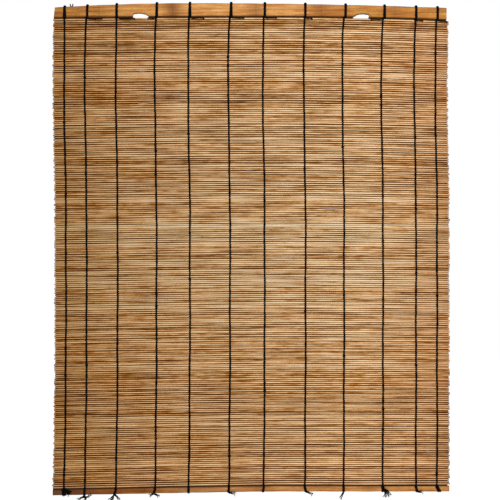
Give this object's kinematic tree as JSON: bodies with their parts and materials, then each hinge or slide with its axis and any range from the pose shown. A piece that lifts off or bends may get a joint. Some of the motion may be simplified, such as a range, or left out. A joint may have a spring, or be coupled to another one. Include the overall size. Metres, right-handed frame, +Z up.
{
  "type": "bamboo roll-up blind",
  "caption": "Bamboo roll-up blind hanging unrolled: split-bamboo slats twined on black strings between a notched head batten and a narrow bottom batten.",
  "frame": {"origin": "midway between the two hook seats in the head batten, at the level of the seats and in the middle of the batten's thickness", "axes": "+Z up along the hanging blind, +X to the right along the slats, +Y to the back"},
  "size_m": [0.802, 0.0076, 0.9907],
  "materials": {
    "slat_bamboo": "satin",
    "batten_bamboo": "satin",
    "black_string": "matte"
  },
  "bodies": {
    "head": {"head_batten": "batten_bamboo", "head_loop_01": "black_string", "head_loop_02": "black_string", "head_loop_03": "black_string", "head_loop_04": "black_string", "head_loop_05": "black_string", "head_loop_06": "black_string", "head_loop_07": "black_string", "head_loop_08": "black_string", "head_loop_09": "black_string", "head_loop_10": "black_string", "head_loop_11": "black_string", "head_loop_12": "black_string"},
    "mat": {"slat_mat": "slat_bamboo", "stitch_cord_01": "black_string", "stitch_cord_02": "black_string", "stitch_cord_03": "black_string", "stitch_cord_04": "black_string", "stitch_cord_05": "black_string", "stitch_cord_06": "black_string", "stitch_cord_07": "black_string", "stitch_cord_08": "black_string", "stitch_cord_09": "black_string", "stitch_cord_10": "black_string", "stitch_cord_11": "black_string", "stitch_cord_12": "black_string"},
    "foot": {"bottom_batten": "batten_bamboo", "foot_tie_01": "black_string", "foot_tie_02": "black_string", "foot_tie_03": "black_string", "foot_tie_04": "black_string", "foot_tie_05": "black_string", "foot_tie_06": "black_string", "foot_tie_07": "black_string", "foot_tie_08": "black_string", "foot_tie_09": "black_string", "foot_tie_10": "black_string", "foot_tie_11": "black_string", "foot_tie_12": "black_string"}
  },
  "joints": [
    {"name": "mat_swing", "type": "hinge", "parent": "head", "child": "mat", "pos_m": [0, 0, -0.007], "axis": [1, 0, 0], "range_deg": [-90, 90]},
    {"name": "bottom_batten_swing", "type": "hinge", "parent": "mat", "child": "foot", "pos_m": [0, 0, -0.9541], "axis": [1, 0, 0], "range_deg": [-90, 90]}
  ]
}
